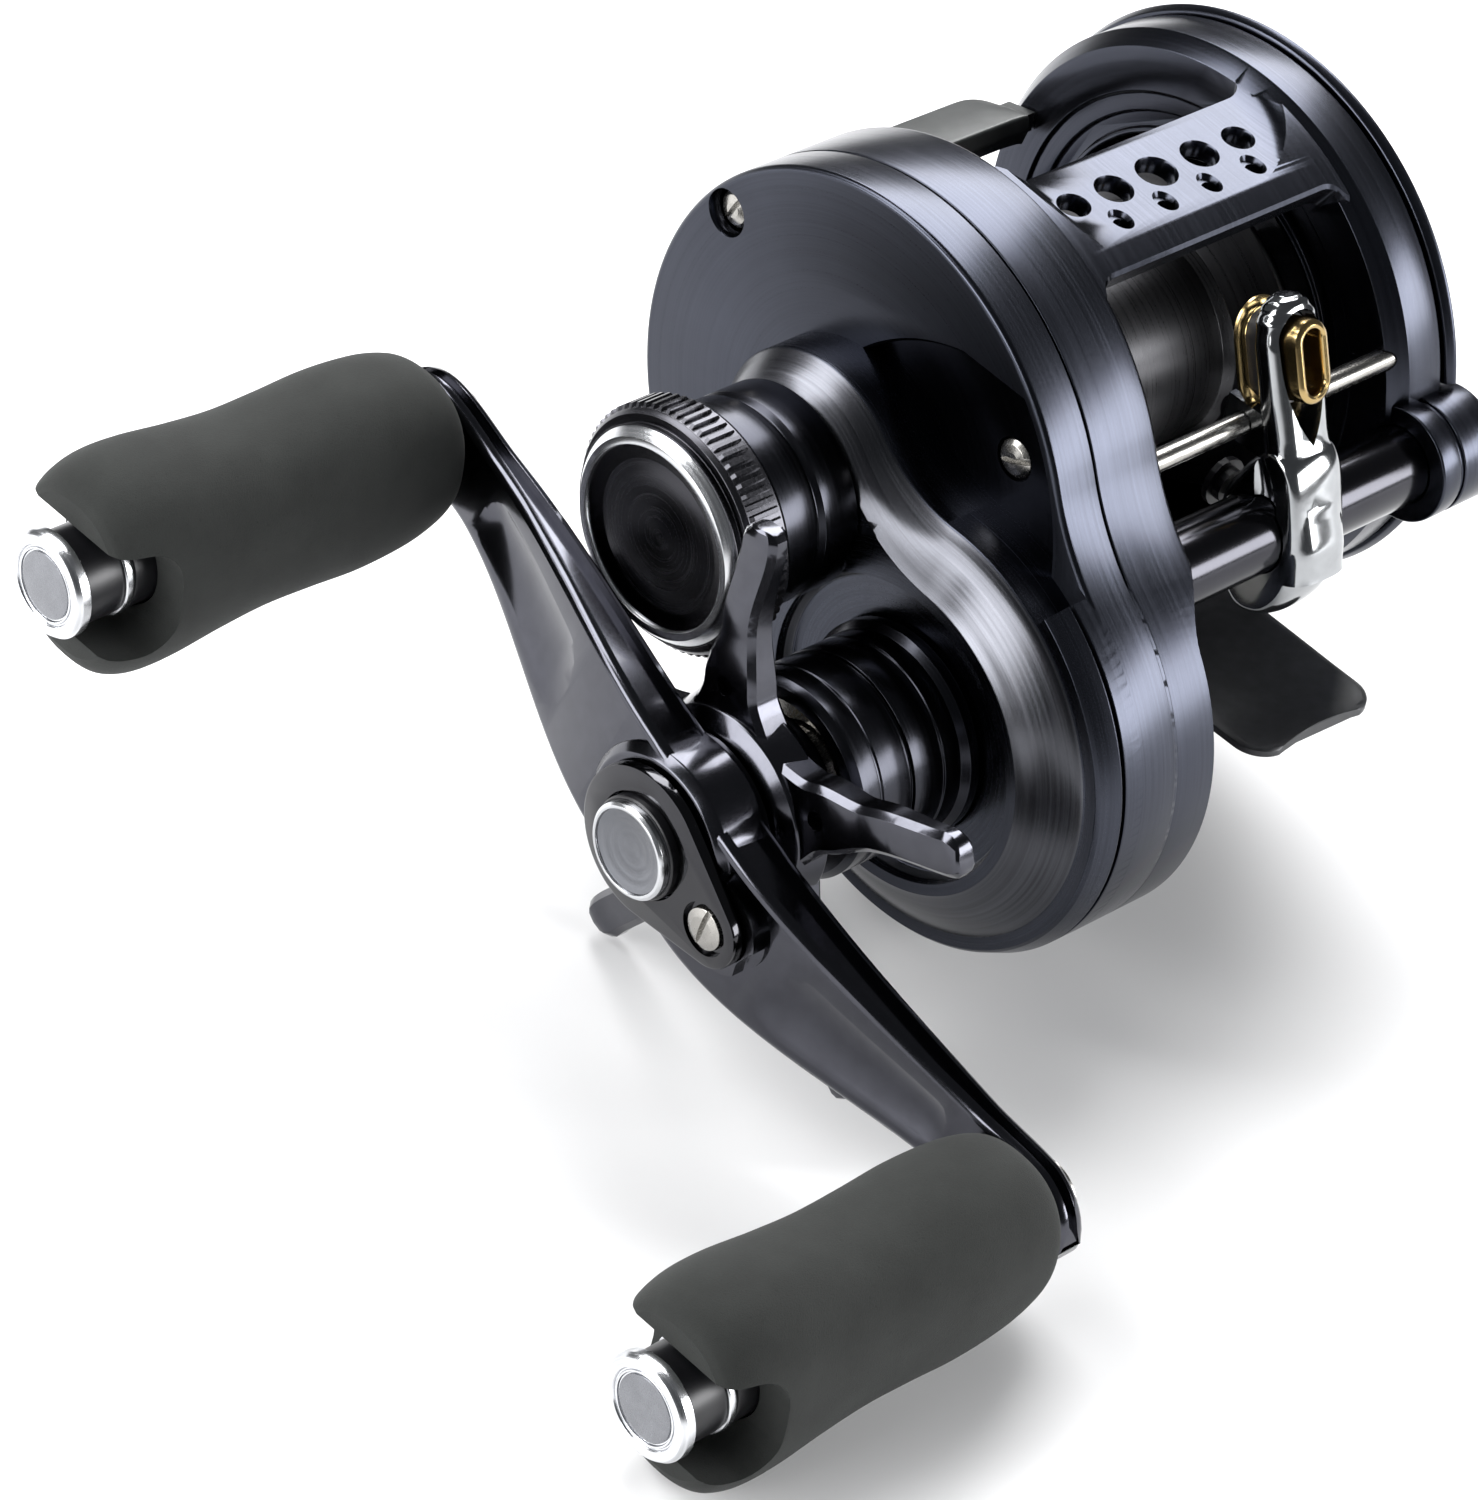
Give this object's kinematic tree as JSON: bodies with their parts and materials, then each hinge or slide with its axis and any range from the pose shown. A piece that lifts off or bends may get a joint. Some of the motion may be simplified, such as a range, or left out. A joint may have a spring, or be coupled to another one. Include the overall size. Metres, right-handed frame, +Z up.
{
  "type": "baitcasting reel",
  "caption": "Round-frame baitcasting reel with perforated front rest, star drag, slim double-knob crank, cast control cap and level-wind line guide; crank, spool and worm turn together",
  "frame": {"origin": "middle of the flat land under the reel foot, where the reel sits in a rod seat", "axes": "+X along the spool axis towards the palm side, the crank is on -X; -Y is the side where the line leaves; +Z up, away from the rod"},
  "size_m": [0.1201, 0.0972, 0.0659],
  "materials": {
    "body_anodised": "brushed blue-black anodise",
    "crank_gunmetal": "glossy gunmetal",
    "black_anodised": "black anodise",
    "foot_black": "satin black",
    "steel": "machined",
    "silver": "machined silver",
    "chrome": "polished",
    "gold": "polished gold",
    "brass": "machined",
    "fibre": "woven fibre",
    "foam": "fine-grained hard foam"
  },
  "bodies": {
    "reel": {"frame": "body_anodised", "reel_foot": "foot_black", "foot_rivet_front": "steel", "foot_rivet_rear": "steel", "palm_side_plate": "body_anodised", "brake_race": "steel", "palm_bearing": "steel", "worm_end_cap": "black_anodised", "handle_side_plate": "body_anodised", "plate_screw_1": "steel", "plate_screw_2": "steel", "plate_screw_3": "steel", "gear_housing": "body_anodised", "clutch_housing": "black_anodised", "roller_clutch": "steel", "cast_control_post": "black_anodised", "cast_bearing": "steel", "spool_bearing": "steel", "shaft_bearing": "steel", "worm_tube": "black_anodised", "guide_rod": "steel"},
    "brake_control": {"brake_dial": "black_anodised"},
    "cast_control": {"cast_control_knob": "body_anodised"},
    "spool_unit": {"spool": "black_anodised", "spool_shaft": "steel", "brake_hub": "fibre"},
    "yoke": {"pinion_yoke": "steel"},
    "pinion": {"pinion_gear": "brass"},
    "clutch_bar": {"thumb_bar": "black_anodised"},
    "clutch_slide": {"clutch_cam": "steel"},
    "crank": {"drive_shaft": "steel", "clutch_tube": "steel", "drive_gear": "brass", "drag_washer": "fibre", "drag_key_washer": "steel", "drag_spring_washer": "steel", "level_wind_gear": "fibre", "handle_arm": "crank_gunmetal", "handle_nut": "silver", "nut_retainer": "black_anodised", "retainer_screw": "steel", "knob_shaft_front": "steel", "knob_shaft_rear": "steel"},
    "star": {"star_drag": "crank_gunmetal", "drag_nut": "brass"},
    "knob_front": {"handle_knob_front": "foam", "knob_bearing_front": "steel", "knob_cap_front": "silver"},
    "knob_rear": {"handle_knob_rear": "foam", "knob_bearing_rear": "steel", "knob_cap_rear": "silver"},
    "worm": {"worm_shaft": "steel", "worm_gear": "black_anodised"},
    "guide": {"line_guide": "chrome", "line_guide_eye": "gold", "guide_pawl": "steel", "pawl_cap": "black_anodised"}
  },
  "joints": [
    {"name": "crank_turn", "type": "hinge", "parent": "reel", "child": "crank", "pos_m": [-0.0432, -0.0166, 0.0049], "axis": [1, 0, 0], "continuous": true},
    {"name": "spool_spin", "type": "hinge", "parent": "reel", "child": "spool_unit", "pos_m": [-0.0032, 0, 0.0204], "axis": [1, 0, 0], "continuous": true},
    {"name": "clutch_bar_press", "type": "slide", "parent": "reel", "child": "clutch_bar", "axis": [0, 0, -1], "range_m": [0, 0.0035]},
    {"name": "clutch_cam_slide", "type": "slide", "parent": "reel", "child": "clutch_slide", "axis": [0, 0, -1], "range_m": [0, 0.0035]},
    {"name": "yoke_lift", "type": "slide", "parent": "reel", "child": "yoke", "axis": [-1, 0, 0], "range_m": [0, 0.001]},
    {"name": "pinion_spin", "type": "hinge", "parent": "yoke", "child": "pinion", "pos_m": [-0.0232, 0, 0.0204], "axis": [1, 0, 0], "continuous": true},
    {"name": "worm_spin", "type": "hinge", "parent": "reel", "child": "worm", "pos_m": [-0.0032, -0.02644, 0.02021], "axis": [1, 0, 0], "continuous": true},
    {"name": "line_guide_travel", "type": "slide", "parent": "reel", "child": "guide", "axis": [1, 0, 0], "range_m": [-0.0093, 0.0101]},
    {"name": "star_drag_turn", "type": "hinge", "parent": "crank", "child": "star", "pos_m": [-0.0532, -0.0166, 0.0049], "axis": [1, 0, 0], "range_deg": [-180, 180]},
    {"name": "cast_control_turn", "type": "hinge", "parent": "reel", "child": "cast_control", "pos_m": [-0.0492, 0, 0.0204], "axis": [1, 0, 0], "range_deg": [-180, 180]},
    {"name": "brake_dial_turn", "type": "hinge", "parent": "reel", "child": "brake_control", "pos_m": [0.0198, 0, 0.0204], "axis": [1, 0, 0], "range_deg": [0, 150]},
    {"name": "knob_front_spin", "type": "hinge", "parent": "crank", "child": "knob_front", "pos_m": [-0.0732, -0.05622, -0.00905], "axis": [1, 0, 0], "continuous": true},
    {"name": "knob_rear_spin", "type": "hinge", "parent": "crank", "child": "knob_rear", "pos_m": [-0.0732, 0.02302, 0.01885], "axis": [1, 0, 0], "continuous": true}
  ],
  "couplings": [
    {"joint": "spool_spin", "follows": "crank_turn", "ratio": -7},
    {"joint": "pinion_spin", "follows": "crank_turn", "ratio": -7},
    {"joint": "worm_spin", "follows": "crank_turn", "ratio": -5.75},
    {"joint": "clutch_cam_slide", "follows": "clutch_bar_press", "ratio": 1},
    {"joint": "yoke_lift", "follows": "clutch_bar_press", "ratio": 0.28571}
  ]
}
